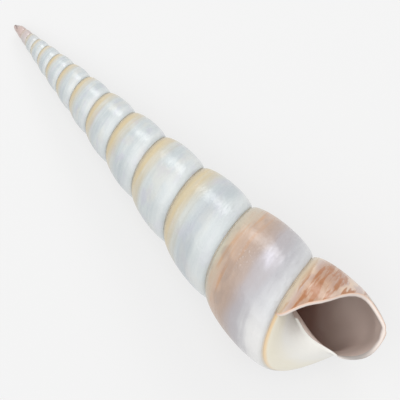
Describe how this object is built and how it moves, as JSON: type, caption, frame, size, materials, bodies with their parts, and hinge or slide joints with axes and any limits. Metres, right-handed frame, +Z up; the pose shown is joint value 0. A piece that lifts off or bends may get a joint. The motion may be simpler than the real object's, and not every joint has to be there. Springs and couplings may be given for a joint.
{
  "type": "tower shell",
  "caption": "Long tapering sea snail shell coiled to the right, with rounded turns, deep seams and an open mouth, lying on its side.",
  "frame": {"origin": "centre of the bounding box in X and Y, on the surface the shell lies on", "axes": "+X from the tip towards the mouth, along the shell as it lies; +Z up"},
  "size_m": [0.1194, 0.028, 0.0289],
  "materials": {
    "shell": "polished pearly shell, grey-white turns with tan bands below the seams, orange-brown flecks by the mouth, cream base and taupe inside"
  },
  "bodies": {
    "root": {"shell": "shell"}
  },
  "joints": []
}
